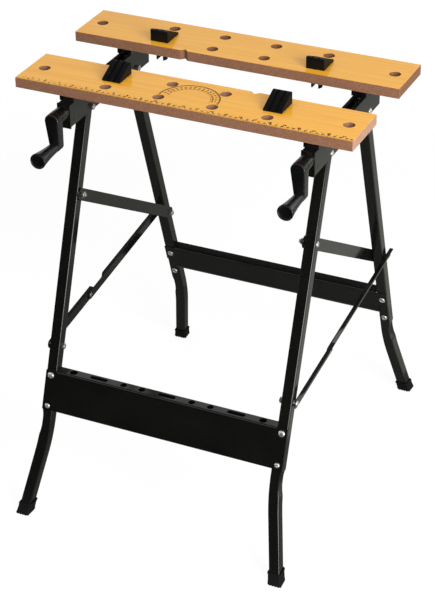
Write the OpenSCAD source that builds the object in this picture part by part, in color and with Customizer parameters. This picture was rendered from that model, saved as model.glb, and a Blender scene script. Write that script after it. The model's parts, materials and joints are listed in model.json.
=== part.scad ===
// Portable folding workbench with two clamping jaw boards, drawn open and standing on the floor.
// X runs along the jaws, +Y to the back, +Z up; the floor is z = 0.

/* [Jaw boards] */
// Length of each jaw board along X
board_length = 605; // [450:1:800]
// Depth of each jaw board front to back
board_depth = 107; // [90:0.5:140]
// Thickness of each jaw board
board_thickness = 18; // [12:0.5:28]
// Height of the working surface above the floor
work_height = 780; // [760:1:830]
// Gap between the jaws when fully open, as drawn
jaw_gap = 105.3; // [60:0.1:140]
// Gap left between the jaws when fully closed
closed_gap = 2.2; // [0.5:0.1:10]
// Diameter of the holes for the bench dogs
dog_hole_dia = 20; // [18:0.5:24]
// Distance of the end holes from the middle
end_hole_x = 275.5; // [180:0.5:360]
// Distance of the outer hole pairs from the middle
outer_hole_x = 146; // [120:0.5:165]
// Distance of the inner hole pairs from the middle
inner_hole_x = 48.5; // [30:0.5:60]
// Distance of each hole row from the middle of the board
hole_row = 27; // [24:0.5:32]
// Distance of the upright V-groove from the middle
groove_x = 91; // [70:0.5:110]
// Depth of the V-groove
groove_depth = 7; // [3:0.5:12]

/* [Bench dogs] */
// Width of a dog along the jaw
dog_width = 33; // [24:0.5:40]
// Height of a dog above the board
dog_height = 21; // [14:0.5:30]
// Reach of the gripping face from the peg axis
dog_face_reach = 10; // [10:0.5:14]
// Reach of the toe from the peg axis
dog_toe_reach = 34; // [24:0.5:40]
// Height of the toe
dog_toe_height = 4; // [2:0.5:8]
// Flat length on top of the dog
dog_top_flat = 5; // [2:0.5:8]
// Width of the grooves down the sloping face
dog_groove_width = 5; // [2:0.5:7]
// Depth of the grooves down the sloping face
dog_groove_depth = 2.2; // [0.5:0.1:3]
// Length of the grooves up the sloping face
dog_groove_length = 46; // [44:0.5:50]
// Distance of each groove from the middle of the dog
dog_groove_x = 6; // [5:0.5:9]
// Slot that splits the peg into two prongs
prong_slot = 11; // [6:0.5:13]
// Length of the prongs below the underside of the board
prong_drop = 17; // [6:0.5:22]

/* [Rails] */
// Distance of each rail from the middle
rail_x = 221.5; // [215:0.5:240]
// Clear width inside the rail
rail_inner = 22; // [22:0.2:26]
// Height of the rail
rail_height = 41; // [40:0.5:46]
// Length of the rail
rail_length = 294; // [290:1:310]
// Distance of the rail's front end behind the front edge of the boards
rail_setback = 18; // [17:0.5:24]
// Sheet thickness of the rail
rail_sheet = 1.2; // [1:0.1:1.6]
// Outside radius of the rail's upper bends
rail_bend = 2.4; // [1.8:0.1:2.8]
// Height of the blocks between the rails and the boards
block_height = 23; // [16:0.5:30]
// Width of those blocks
block_width = 27; // [25:0.5:32]
// Length of those blocks front to back
block_length = 51; // [46:0.5:60]
// Width of the slot in the top of the rail
rail_slot = 12; // [10:0.5:13]
// Diameter of the bolts that hold the boards
jaw_bolt_dia = 6; // [5:0.5:6.5]
// Distance of those bolts from the middle of the block
jaw_bolt_y = 19; // [18:0.5:20]

/* [Vice screws and cranks] */
// Outside diameter of the vice screw
screw_dia = 10; // [9:0.5:11]
// Height of the screw axis above the leg pivots
screw_rise = 20; // [19.5:0.5:21]
// Thickness of the end bracket
bracket_thick = 3; // [2:0.5:4]
// Length of the bearing boss in front of the bracket
boss_length = 6; // [4:0.5:8]
// Radius of the bearing boss
boss_radius = 11; // [9:0.5:12]
// Length of the crank hub
hub_length = 19; // [16:0.5:24]
// Radius of the crank hub
hub_radius = 12.5; // [11:0.5:13]
// Distance from the screw axis to the grip axis
crank_throw = 46.5; // [40:0.5:54]
// Angle of the hanging arm to the right of straight down
crank_hang = 4; // [0:0.5:8]
// Radius of the upper end of the crank arm
arm_top_radius = 13; // [12:0.5:15]
// Radius of the lower end of the crank arm
arm_end_radius = 9.5; // [9.5:0.5:12]
// Thickness of the crank arm
arm_thick = 18; // [12:0.5:20]
// Length of the grip
grip_length = 58; // [45:1:70]
// Radius of the grip at the arm
grip_root_radius = 9; // [8:0.1:9.4]
// Radius of the grip at its free end
grip_end_radius = 14; // [11:0.5:16]

/* [Legs] */
// Side of the square leg tube
tube = 20; // [18:0.5:20.5]
// Wall of the leg tube
tube_wall = 1.5; // [1.2:0.1:2]
// Corner radius of the leg tube
tube_corner = 2.5; // [1.5:0.1:3]
// Height of the leg pivots above the lower edge of the rails
pivot_rise = 7; // [6:0.5:7]
// Distance of the front pivots in front of the middle of the top
front_pivot_reach = 69.5; // [60:0.5:80]
// Distance of the rear pivots behind the middle of the top
rear_pivot_reach = 104.5; // [98:0.5:110]
// Forward lean of the front legs
front_lean = 19.46; // [17:0.01:21]
// Backward lean of the rear legs
rear_lean = 18.36; // [16:0.01:20]
// Distance along the leg from its pivot to the start of the foot bend
bend_start = 559; // [552:1:580]
// Radius of the foot bend
bend_radius = 427; // [300:1:520]
// Outward turn of the foot
foot_splay = 9.4; // [6:0.1:11]
// Depth of the dent that the bending leaves on the outer side
dent_depth = 3.5; // [1:0.1:4]
// Radius of that dent
dent_radius = 70; // [50:1:110]
// Distance of the middle of that dent below the start of the bend
dent_lag = 10; // [4:0.5:18]
// Side of the rubber foot cap
cap_side = 25; // [24:0.5:28]
// Height of the rubber foot cap
cap_height = 21; // [16:0.5:28]
// Thickness of the cap's sole
cap_sole = 5; // [4:0.5:7]
// Depth of the tread grooves in the sole
tread_depth = 1.6; // [0.5:0.1:2]

/* [Front panel] */
// Distance along the front legs from their pivots to the top of the panel
panel_top = 474; // [466:1:476]
// Height of the panel along the legs
panel_height = 72.5; // [70:0.5:76]
// Depth of the tool shelf at the top of the panel
shelf_depth = 20.5; // [20.5:0.5:21.5]
// Half length of the tool shelf
shelf_half = 211; // [195:0.5:211]
// Height of the lip along the rear edge of the tool shelf
shelf_lip = 14; // [8:0.5:18]
// Sheet thickness of panel and crossbar
sheet = 1.5; // [1:0.1:2]
// Inside radius of the bends in that sheet
sheet_bend = 1.5; // [1:0.1:2.5]
// Distance of the upper panel screws below the top of the panel
panel_upper_screw = 8.6; // [8:0.1:10]
// Distance of the lower panel screws above the bottom of the panel
panel_lower_screw = 7.5; // [6:0.1:10]
// Distance of the outermost round openings from the middle
end_tool_hole_x = 181.9; // [176:0.1:190]
// Distance of the outer slots from the middle
tool_slot_x = 132; // [124:0.1:140]
// Distance of the outer round opening of each pair from the middle
outer_pair_x = 83.4; // [76:0.1:92]
// Distance of the inner round opening of each pair from the middle
inner_pair_x = 48; // [40:0.1:56]
// Diameter of the round openings
tool_hole_dia = 12; // [8:0.5:12.5]
// Diameter of the two outermost round openings
end_tool_hole_dia = 14; // [10:0.5:14.5]
// Length of the slots in the shelf
tool_slot_length = 34; // [20:0.5:38]
// Width of the slots in the shelf
tool_slot_width = 9; // [6:0.5:11]

/* [Rear crossbar] */
// Distance along the rear legs from their pivots to the top of the crossbar
bar_top = 459; // [454:1:462]
// Height of the crossbar face
bar_height = 48; // [42:1:50]
// Height of the end tabs on the legs
tab_height = 34; // [30:1:36]
// Distance of the upper crossbar screws below the top of the bar
bar_upper_screw = 18; // [10:0.5:20]
// Distance between the upper and lower crossbar screws
bar_screw_spacing = 51.5; // [46:0.5:54]
// Depth of the top flange
bar_flange = 19; // [14:0.5:20]
// Length of the slanted lower lip
lip_length = 2.5; // [1.5:0.5:6]
// Half length of the lower lip
lip_half = 213.5; // [190:0.5:214]

/* [Links and struts] */
// Distance along the front legs from their pivots to the link pivot
link_front = 153.8; // [140:0.1:165]
// Distance along the rear legs from their pivots to the shared pivot of link and strut
link_rear = 368.8; // [360:0.1:380]
// Distance along the front legs from their pivots to the strut pivot
strut_front = 428.2; // [415:0.1:430]
// Share of the strut that is in its rear half
strut_share = 0.655; // [0.6:0.005:0.7]
// Thickness of the link bars
link_thick = 3; // [2:0.1:3]
// Width of the link bars
link_width = 22; // [16:0.5:26]
// Width of the rear strut half
rear_strut_width = 16; // [16:0.5:20]
// Width of the front strut half
front_strut_width = 17; // [16:0.5:20]
// Depth of the flange along the top of each strut half
strut_flange = 7; // [5:0.5:8]
// Drop of the struts below the line of their pivots
strut_drop = 1; // [0:0.1:1]
// Free length of the rear strut past its pivot
strut_tail = 24; // [14:0.5:28]
// Diameter of the pivot bolts
pivot_bolt_dia = 6; // [5:0.5:6.5]

/* [Hidden] */
$fn = 48;
running = 0.05;
gap = 0.3;
slip = 0.1;
cut = 1;
hex_sides = 6;

board_top = work_height;
board_bottom = work_height - board_thickness;
rail_top = board_bottom - block_height;
rail_bottom = rail_top - rail_height;
rail_outer = rail_inner + 2 * rail_sheet;
web_under = rail_top - rail_sheet;
pivot_height = rail_bottom + pivot_rise;

front_foot = front_pivot_reach + pivot_height * tan(front_lean) + cap_side / 2 / cos(front_lean);
rear_foot = rear_pivot_reach + pivot_height * tan(rear_lean) + cap_side / 2 / cos(rear_lean);
top_y = (front_foot - rear_foot) / 2;
front_pivot_y = top_y - front_pivot_reach;
rear_pivot_y = top_y + rear_pivot_reach;
dent_at = bend_start + dent_lag;

jaw_reach = (jaw_gap + board_depth) / 2;
front_jaw_y = top_y - jaw_reach;
rear_jaw_y = top_y + jaw_reach;
hole_radius = dog_hole_dia / 2;
front_edge = front_jaw_y - board_depth / 2;
rail_front = front_edge + rail_setback;
jaw_travel = jaw_gap - closed_gap;
slot_clear = 2;
slot_rear = rear_jaw_y + block_length / 2 + slot_clear;
slot_front = rear_jaw_y - block_length / 2 - jaw_travel - slot_clear;
jaw_bolt_head = 10;
jaw_bolt_head_height = 4;
jaw_bolt_bite = 12;
rivet_dia = 4;
rivet_head = 6;
rivet_head_height = 0.4;
rivet_setback = 12;
rivet_rise = 10;
rivet_y = rail_front + rivet_setback;
rivet_z = rail_bottom + rivet_rise;

screw_z = pivot_height + screw_rise;
screw_end_setback = 6;
screw_rear = rail_front + rail_length - screw_end_setback;
boss_front = rail_front - bracket_thick - boss_length;
hub_back = boss_front - gap;
arm_back = hub_back - hub_length;
arm_front = arm_back - arm_thick;
collar_length = 6;
collar_radius = 8.5;
collar_front = rail_front + gap;
screw_cover = 4;
screw_front = arm_front + screw_cover;
nut_clear = 1.5;
nut_bottom = pivot_height + tube / 2 + nut_clear;
nut_length = 28;
nut_width = rail_inner - 2 * rail_bend;
neck_width = rail_slot - 2 * gap;
bracket_drop = 3;
tab_thick = 2;
tab_length = 20;
tab_rise = 15;
grip_fillet = 2.5;

leg_face = rail_x + tube / 2;
leg_inside = rail_x - tube / 2;
floor_clear = cap_sole + slip;
leg_run = pivot_height / cos(front_lean) - bend_start;
seam_lap = 2;
seam_inset = 0.02;
sheet_lap = 0.2;
bend_outer = sheet_bend + sheet;
sheet_front = -tube / 2 - sheet;
bend_y = -tube / 2 + sheet_bend;
tread_width = 2.4;
tread_pitch = 5;
tread_grooves = 8;

bolt_radius = pivot_bolt_dia / 2;
bolt_head_radius = 5.2;
bolt_crown_radius = 3.8;
bolt_head_height = 3;
nut_radius = 5.8;
nut_height = 5;
long_thread = 4;
short_thread = 2;
panel_screw_dia = 5;
upper_head_radius = 6.2;
lower_head_radius = 5;
screw_head_height = 3;

panel_screws = [panel_top + panel_upper_screw, panel_top + panel_height - panel_lower_screw];
bar_screws = [bar_top + bar_upper_screw, bar_top + bar_upper_screw + bar_screw_spacing];
link_b = [front_pivot_y - link_front * sin(front_lean), pivot_height - link_front * cos(front_lean)];
link_c = [rear_pivot_y + link_rear * sin(rear_lean), pivot_height - link_rear * cos(rear_lean)];
strut_d = [front_pivot_y - strut_front * sin(front_lean), pivot_height - strut_front * cos(front_lean)];
link_length = norm(link_c - link_b);
link_tilt = atan2(link_c[1] - link_b[1], link_c[0] - link_b[0]);
strut_length = norm(link_c - strut_d);
strut_tilt = atan2(link_c[1] - strut_d[1], link_c[0] - strut_d[0]);
rear_half = strut_length * strut_share;
front_half = strut_length - rear_half;
link_out = leg_inside - gap;
strut_spacer = 1.2;
rear_strut_in = leg_face + strut_spacer;
front_strut_in = rear_strut_in + sheet + gap;
elbow_lap = 14;
fold_clear = 46;
head_clear = 10;
flange_taper = 14;
elbow_rivet_radius = 4;
elbow_rivet_height = 1.8;
flat_rivet_height = 0.8;

module both() {
    children();
    mirror([1, 0, 0]) children();
}

module along_x(radius, length) {
    rotate([0, 90, 0]) cylinder(r = radius, h = length);
}

module along_y(radius, length) {
    rotate([-90, 0, 0]) cylinder(r = radius, h = length);
}

module in_front_leg() {
    translate([0, front_pivot_y, pivot_height]) rotate([-front_lean, 0, 0]) children();
}

module in_rear_leg() {
    translate([0, rear_pivot_y, pivot_height]) rotate([rear_lean, 0, 0]) children();
}

// One jaw board about its own middle, with the groove in the edge that faces +Y
module jaw_board() {
    difference() {
        translate([-board_length / 2, -board_depth / 2, board_bottom])
            cube([board_length, board_depth, board_thickness]);
        for (x = [-end_hole_x, end_hole_x]) dog_hole(x, 0);
        for (x = [-outer_hole_x, -inner_hole_x, inner_hole_x, outer_hole_x], y = [-hole_row, hole_row]) {
            dog_hole(x, y);
        }
        translate([groove_x, board_depth / 2, board_bottom - cut])
            linear_extrude(board_thickness + 2 * cut)
            polygon([[-groove_depth - cut, cut], [0, -groove_depth], [groove_depth + cut, cut]]);
        for (x = [-rail_x, rail_x], y = [-jaw_bolt_y, jaw_bolt_y]) {
            translate([x, y, board_bottom - cut])
                cylinder(d = jaw_bolt_dia + 2 * running, h = cut + jaw_bolt_bite + slip);
        }
    }
}

module dog_hole(x, y) {
    translate([x, y, board_bottom - cut]) cylinder(r = hole_radius, h = board_thickness + 2 * cut);
}

module front_jaw() {
    color("tan") translate([0, front_jaw_y, 0]) jaw_board();
}

module rear_jaw() {
    color("tan") translate([0, rear_jaw_y, 0]) rotate([0, 0, 180]) jaw_board();
}

// Wedge with its gripping face toward +Y and a split peg down through the board
module dog() {
    slope_run = dog_face_reach - dog_top_flat + dog_toe_reach;
    slope_angle = atan2(dog_height - dog_toe_height, slope_run);
    difference() {
        rotate([90, 0, 90]) translate([0, 0, -dog_width / 2]) linear_extrude(dog_width)
            polygon([[dog_face_reach, gap], [dog_face_reach, dog_height],
                [dog_face_reach - dog_top_flat, dog_height],
                [-dog_toe_reach, dog_toe_height], [-dog_toe_reach, gap]]);
        for (x = [-dog_groove_x, dog_groove_x]) {
            translate([x - dog_groove_width / 2, -dog_toe_reach, dog_toe_height])
                rotate([slope_angle, 0, 0])
                translate([0, -dog_toe_height, -dog_groove_depth])
                cube([dog_groove_width, dog_toe_height + dog_groove_length, dog_height]);
        }
    }
    difference() {
        translate([0, 0, -board_thickness - prong_drop])
            cylinder(r = hole_radius - slip, h = board_thickness + prong_drop + 2 * gap);
        translate([-prong_slot / 2, -dog_hole_dia, -board_thickness - prong_drop - cut])
            cube([prong_slot, 2 * dog_hole_dia, board_thickness + prong_drop + cut]);
    }
}

module front_right_dog() {
    color("#202020") translate([outer_hole_x, front_jaw_y + hole_row, board_top]) dog();
}

module front_left_dog() {
    mirror([1, 0, 0]) front_right_dog();
}

module rear_right_dog() {
    color("#202020") translate([outer_hole_x, rear_jaw_y - hole_row, board_top]) rotate([0, 0, 180]) dog();
}

module rear_left_dog() {
    mirror([1, 0, 0]) rear_right_dog();
}

module arch(width, height, corner) {
    translate([-width / 2, 0]) square([width, height - corner]);
    translate([-width / 2 + corner, 0]) square([width - 2 * corner, height]);
    for (side = [-1, 1]) translate([side * (width / 2 - corner), height - corner]) circle(corner);
}

// Sheet channel, open below, slotted on top for the slider
module right_rail() {
    color("#1c1c1c") translate([rail_x, 0, 0]) difference() {
        translate([0, rail_front + rail_length, rail_bottom]) rotate([90, 0, 0])
            linear_extrude(rail_length) arch(rail_outer, rail_height, rail_bend);
        translate([0, rail_front + rail_length + cut, rail_bottom]) rotate([90, 0, 0])
            linear_extrude(rail_length + 2 * cut) translate([0, -cut])
            arch(rail_inner, rail_height - rail_sheet + cut, rail_bend - rail_sheet);
        translate([-rail_slot / 2, slot_front, web_under - cut])
            cube([rail_slot, slot_rear - slot_front, rail_sheet + 2 * cut]);
        for (y = [front_pivot_y, rear_pivot_y]) {
            translate([-rail_outer, y, pivot_height]) along_x(bolt_radius + running, 2 * rail_outer);
        }
        for (y = [-jaw_bolt_y, jaw_bolt_y]) {
            translate([0, front_jaw_y + y, web_under - cut])
                cylinder(d = jaw_bolt_dia + 2 * running, h = rail_sheet + 2 * cut);
        }
        translate([-rail_outer, rivet_y, rivet_z]) along_x(rivet_dia / 2 + running, 2 * rail_outer);
    }
}

module left_rail() {
    mirror([1, 0, 0]) right_rail();
}

// Fixed block that carries the front jaw on the rail
module right_spacer() {
    color("#181818") translate([rail_x, front_jaw_y, rail_top]) difference() {
        translate([-block_width / 2, -block_length / 2, 0]) cube([block_width, block_length, block_height]);
        for (y = [-jaw_bolt_y, jaw_bolt_y]) {
            translate([0, y, -cut]) cylinder(d = jaw_bolt_dia + 2 * running, h = block_height + 2 * cut);
        }
    }
}

module left_spacer() {
    mirror([1, 0, 0]) right_spacer();
}

// Block under the rear jaw, with a neck through the rail slot and the nut of the vice screw
module right_slider() {
    color("#181818") translate([rail_x, rear_jaw_y, 0]) difference() {
        union() {
            translate([-block_width / 2, -block_length / 2, rail_top + gap])
                cube([block_width, block_length, block_height - gap]);
            translate([-neck_width / 2, -block_length / 2, web_under - gap])
                cube([neck_width, block_length, rail_sheet + 3 * gap]);
            translate([-nut_width / 2, -nut_length / 2, nut_bottom])
                cube([nut_width, nut_length, web_under - gap - nut_bottom]);
        }
        translate([0, -block_length, screw_z]) along_y(screw_dia / 2 + running, 2 * block_length);
        for (y = [-jaw_bolt_y, jaw_bolt_y]) {
            translate([0, y, web_under - cut])
                cylinder(d = jaw_bolt_dia + 2 * running, h = block_height + rail_sheet + 2 * cut);
        }
    }
}

module left_slider() {
    mirror([1, 0, 0]) right_slider();
}

module jaw_bolts(y_mid, seat) {
    for (y = [-jaw_bolt_y, jaw_bolt_y]) translate([rail_x, y_mid + y, 0]) {
        translate([0, 0, seat - jaw_bolt_head_height])
            cylinder(d = jaw_bolt_head, h = jaw_bolt_head_height);
        translate([0, 0, seat - slip])
            cylinder(d = jaw_bolt_dia, h = board_bottom + jaw_bolt_bite - seat + slip);
    }
}

module front_jaw_bolts() {
    color("silver") both() jaw_bolts(front_jaw_y, web_under);
}

module rear_jaw_bolts() {
    color("silver") both() jaw_bolts(rear_jaw_y, web_under - gap);
}

// Plate that closes the front of the rail and bears the vice screw
module right_bracket() {
    color("#141414") translate([rail_x, 0, 0]) difference() {
        union() {
            translate([-rail_outer / 2, rail_front - bracket_thick, rail_bottom - bracket_drop])
                cube([rail_outer, bracket_thick, rail_height + bracket_drop]);
            translate([0, boss_front, screw_z]) along_y(boss_radius, boss_length + slip);
            for (x = [-rail_inner / 2 + slip, rail_inner / 2 - slip - tab_thick]) {
                translate([x, rail_front - slip, rail_bottom]) cube([tab_thick, tab_length, tab_rise]);
            }
        }
        translate([0, boss_front - cut, screw_z])
            along_y(screw_dia / 2 + running, boss_length + bracket_thick + 2 * cut);
        translate([-rail_outer, rivet_y, rivet_z]) along_x(rivet_dia / 2 + running, 2 * rail_outer);
    }
}

module left_bracket() {
    mirror([1, 0, 0]) right_bracket();
}

module bracket_rivet() {
    shank = rail_sheet + slip + tab_thick;
    translate([0, rivet_y, rivet_z]) {
        along_x(rivet_dia / 2, shank + slip);
        translate([shank, 0, 0]) along_x(rivet_head / 2, rivet_head_height);
    }
}

module bracket_rivets() {
    inner = rail_inner / 2 - slip - tab_thick;
    color("silver") both() translate([rail_x, 0, 0]) {
        translate([inner, 0, 0]) bracket_rivet();
        mirror([1, 0, 0]) translate([inner, 0, 0]) bracket_rivet();
    }
}

module right_vice_screw() {
    color("silver") translate([rail_x, screw_front, screw_z])
        along_y(screw_dia / 2, screw_rear - screw_front);
}

module left_vice_screw() {
    mirror([1, 0, 0]) right_vice_screw();
}

// Thrust collar that keeps the screw from pulling out of the bracket
module right_collar() {
    color("silver") translate([rail_x, collar_front, screw_z]) difference() {
        along_y(collar_radius, collar_length);
        translate([0, -cut, 0]) along_y(screw_dia / 2 + running, collar_length + 2 * cut);
    }
}

module left_collar() {
    mirror([1, 0, 0]) right_collar();
}

// One-piece moulded crank: hub, tapered arm hanging down and a flared grip to the front
module right_crank() {
    taper = asin((arm_top_radius - arm_end_radius) / crank_throw);
    inner_top = arm_top_radius - seam_inset;
    inner_end = arm_end_radius - seam_inset;
    color("#1a1a1a") translate([rail_x, 0, screw_z]) rotate([0, -crank_hang, 0]) {
        difference() {
            union() {
                translate([0, arm_back - slip, 0]) along_y(hub_radius, hub_length + slip);
                translate([0, arm_back, 0]) rotate([-90, 0, 0])
                    cylinder(r1 = arm_top_radius, r2 = hub_radius, h = hub_length / 2);
                translate([0, arm_front, 0]) along_y(arm_top_radius, arm_thick);
                translate([0, arm_front, -crank_throw]) along_y(arm_end_radius, arm_thick);
                translate([0, arm_back, 0]) rotate([90, 0, 0]) linear_extrude(arm_thick)
                    polygon([[-inner_top * cos(taper), -inner_top * sin(taper)],
                        [-inner_end * cos(taper), -crank_throw - inner_end * sin(taper)],
                        [inner_end * cos(taper), -crank_throw - inner_end * sin(taper)],
                        [inner_top * cos(taper), -inner_top * sin(taper)]]);
            }
            translate([0, screw_front, 0]) along_y(screw_dia / 2 + running, hub_length + arm_thick);
        }
        translate([0, arm_front + slip, -crank_throw]) rotate([90, 0, 0]) rotate_extrude() {
            polygon([[0, 0], [grip_root_radius, 0],
                [grip_end_radius, grip_length - grip_fillet], [0, grip_length - grip_fillet]]);
            translate([0, grip_length - grip_fillet])
                square([grip_end_radius - grip_fillet, grip_fillet]);
            intersection() {
                translate([grip_end_radius - grip_fillet, grip_length - grip_fillet]) circle(grip_fillet);
                translate([0, grip_length - grip_fillet]) square(grip_end_radius);
            }
        }
    }
}

module left_crank() {
    translate([-2 * rail_x, 0, 0]) right_crank();
}

module tube_profile(side, corner) {
    square([side - 2 * corner, side], center = true);
    square([side, side - 2 * corner], center = true);
    for (x = [-1, 1], y = [-1, 1]) translate([x, y] * (side / 2 - corner)) circle(corner, $fn = 24);
}

// Straight leg with rounded top at its pivot, then the outward foot bend, then the foot
module leg_path(side, corner, top) {
    translate([0, 0, -bend_start]) linear_extrude(bend_start + top) tube_profile(side, corner);
    translate([bend_radius, 0, -bend_start]) rotate([90, 180, 0])
        rotate_extrude(angle = foot_splay, $fn = 360)
        translate([bend_radius, 0]) tube_profile(side, corner);
    in_foot() translate([0, 0, -leg_run]) linear_extrude(leg_run + seam_lap)
        tube_profile(side - 2 * seam_inset, corner);
}

module in_foot() {
    translate([bend_radius * (1 - cos(foot_splay)), 0, -bend_start - bend_radius * sin(foot_splay)])
        rotate([0, -foot_splay, 0]) children();
}

module dent(extra) {
    translate([tube / 2 + dent_radius - dent_depth, -tube, -dent_at])
        along_y(dent_radius + extra, 2 * tube);
}

module leg_tube(screws) {
    difference() {
        union() {
            difference() {
                leg_path(tube, tube_corner, 0);
                dent(0);
            }
            translate([-tube / 2, 0, 0]) along_x(tube / 2, tube);
        }
        difference() {
            leg_path(tube - 2 * tube_wall, tube_corner - tube_wall, -tube / 2);
            dent(tube_wall);
        }
        translate([-tube, 0, 0]) along_x(bolt_radius + running, 2 * tube);
        for (at = screws) {
            translate([0, -tube, -at]) along_y(panel_screw_dia / 2 + running, 2 * tube);
        }
        children();
    }
}

module leg_bore(at) {
    translate([-tube, 0, -at]) along_x(bolt_radius + running, 2 * tube);
}

module below_floor(height) {
    span = 4 * work_height;
    translate([-span / 2, -span / 2, height - span]) cube(span);
}

module front_right_leg() {
    color("#1c1c1c") difference() {
        translate([rail_x, 0, 0]) in_front_leg() leg_tube(panel_screws) {
            leg_bore(link_front);
            leg_bore(strut_front);
        }
        below_floor(floor_clear);
    }
}

module front_left_leg() {
    mirror([1, 0, 0]) front_right_leg();
}

module rear_right_leg() {
    color("#1c1c1c") difference() {
        translate([rail_x, 0, 0]) in_rear_leg() leg_tube(bar_screws) leg_bore(link_rear);
        below_floor(floor_clear);
    }
}

module rear_left_leg() {
    mirror([1, 0, 0]) rear_right_leg();
}

// Rubber sock over the foot, cut level with the floor and grooved underneath
module cap_body() {
    in_foot() translate([0, 0, -leg_run]) linear_extrude(leg_run) tube_profile(cap_side, tube_corner);
}

module cap_hollow() {
    in_foot() translate([0, 0, -leg_run]) linear_extrude(leg_run + cut)
        tube_profile(tube + 2 * slip, tube_corner);
}

module tread() {
    for (n = [-tread_grooves / 2 : tread_grooves / 2 - 1]) {
        translate([(n + 0.5) * tread_pitch - tread_width / 2, -work_height, -cut])
            cube([tread_width, 2 * work_height, cut + tread_depth]);
    }
}

module above(height) {
    span = 4 * work_height;
    translate([-span / 2, -span / 2, height]) cube(span);
}

module foot_x() {
    drop = (pivot_height / cos(front_lean) - bend_start - bend_radius * sin(foot_splay)) / cos(foot_splay);
    translate([rail_x + bend_radius * (1 - cos(foot_splay)) + drop * sin(foot_splay), 0, 0]) children();
}

module front_right_cap() {
    color("#101010") difference() {
        translate([rail_x, 0, 0]) in_front_leg() cap_body();
        difference() {
            translate([rail_x, 0, 0]) in_front_leg() cap_hollow();
            below_floor(cap_sole);
        }
        above(cap_height);
        below_floor(0);
        foot_x() tread();
    }
}

module front_left_cap() {
    mirror([1, 0, 0]) front_right_cap();
}

module rear_right_cap() {
    color("#101010") difference() {
        translate([rail_x, 0, 0]) in_rear_leg() cap_body();
        difference() {
            translate([rail_x, 0, 0]) in_rear_leg() cap_hollow();
            below_floor(cap_sole);
        }
        above(cap_height);
        below_floor(0);
        foot_x() tread();
    }
}

module rear_left_cap() {
    mirror([1, 0, 0]) rear_right_cap();
}

module tool_slot(x) {
    reach = (tool_slot_length - tool_slot_width) / 2;
    for (end = [-reach, reach]) {
        translate([x + end, shelf_depth / 2, -cut]) cylinder(d = tool_slot_width, h = sheet + 2 * cut);
    }
    translate([x - reach, (shelf_depth - tool_slot_width) / 2, -cut])
        cube([2 * reach, tool_slot_width, sheet + 2 * cut]);
}

module tool_hole(x, size) {
    translate([x, shelf_depth / 2, -cut]) cylinder(d = size, h = sheet + 2 * cut);
}

module ring_sector(turn) {
    far = 2 * bend_outer;
    intersection() {
        difference() {
            circle(bend_outer);
            circle(sheet_bend);
        }
        polygon([[0, 0], [-far, 0], far * [-cos(turn / 2), sin(turn / 2)], far * [-cos(turn), sin(turn)]]);
    }
}

module along_bench(half) {
    translate([-half, 0, 0]) rotate([90, 0, 90]) linear_extrude(2 * half) children();
}

// Outline of the panel between the legs: face, rounded bend, level shelf and the lip that hangs from its rear edge
module panel_outline() {
    turn = 90 - front_lean;
    run_in = bend_outer * tan(turn / 2);
    translate([sheet_front, -panel_top - panel_height]) square([sheet, panel_height - run_in]);
    rear_bend = shelf_depth - run_in - bend_outer;
    lip_drop = shelf_lip - bend_outer;
    translate([bend_y, -panel_top - run_in]) {
        ring_sector(turn);
        rotate(front_lean) {
            translate([-sheet_lap, sheet_bend + seam_inset])
                square([rear_bend + 2 * sheet_lap, sheet - 2 * seam_inset]);
            translate([rear_bend, 0]) mirror([1, 0]) ring_sector(90);
            translate([rear_bend + sheet_bend + seam_inset, -lip_drop])
                square([sheet - 2 * seam_inset, lip_drop + sheet_lap]);
        }
    }
}

// Sheet over the front of the front legs, folded back level at the top into a tool shelf
module front_panel() {
    color("#1a1a1a") in_front_leg() difference() {
        union() {
            along_bench(shelf_half) panel_outline();
            for (x = [-leg_face, shelf_half]) {
                translate([x, sheet_front, -panel_top - panel_height])
                    cube([leg_face - shelf_half, sheet, panel_height]);
            }
        }
        for (x = [-rail_x, rail_x], at = panel_screws) {
            translate([x, -tube, -at]) along_y(panel_screw_dia / 2 + running, tube);
        }
        translate([0, sheet_front, -panel_top]) rotate([front_lean, 0, 0]) translate([0, 0, -sheet]) {
            for (side = [-1, 1]) {
                tool_hole(side * end_tool_hole_x, end_tool_hole_dia);
                tool_slot(side * tool_slot_x);
                tool_hole(side * outer_pair_x, tool_hole_dia);
                tool_hole(side * inner_pair_x, tool_hole_dia);
            }
            tool_slot(0);
        }
    }
}

module bar_face_outline() {
    lip_turn = 45;
    translate([sheet_front, -bar_top - bar_height]) square([sheet, bar_height - bend_outer]);
    translate([sheet_front + sheet - bend_outer, -bar_top - bar_height]) mirror([1, 0]) {
        mirror([0, 1]) ring_sector(lip_turn);
        rotate(-lip_turn) translate([-sheet_lap, -bend_outer + seam_inset])
            square([lip_length + sheet_lap, sheet - 2 * seam_inset]);
    }
}

module bar_flange_outline() {
    translate([sheet_front, -bar_top - tab_height]) square([sheet, tab_height - bend_outer]);
    translate([bend_y, -bar_top - bend_outer]) {
        ring_sector(90);
        translate([0, sheet_bend]) square([bar_flange - bend_outer, sheet]);
    }
}

// Bar on the front of the rear legs, with a square top flange and a lower lip slanted to the front
module rear_crossbar() {
    color("#1a1a1a") in_rear_leg() difference() {
        union() {
            along_bench(lip_half) bar_face_outline();
            along_bench(shelf_half) bar_flange_outline();
            for (x = [-leg_face, shelf_half]) {
                translate([x, sheet_front, -bar_top - tab_height])
                    cube([leg_face - shelf_half, sheet, tab_height]);
            }
        }
        for (x = [-rail_x, rail_x]) {
            translate([x, -tube, -bar_screws[0]]) along_y(panel_screw_dia / 2 + running, tube);
        }
    }
}

module panel_screw(at, head_radius, under) {
    translate([rail_x, -tube / 2 - under, -at]) {
        translate([0, -screw_head_height, 0]) along_y(head_radius, screw_head_height);
        translate([0, -slip, 0]) along_y(panel_screw_dia / 2, tube + under + slip);
    }
}

module front_panel_screws() {
    color("silver") both() in_front_leg() {
        panel_screw(panel_screws[0], upper_head_radius, sheet);
        panel_screw(panel_screws[1], lower_head_radius, sheet);
    }
}

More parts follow.
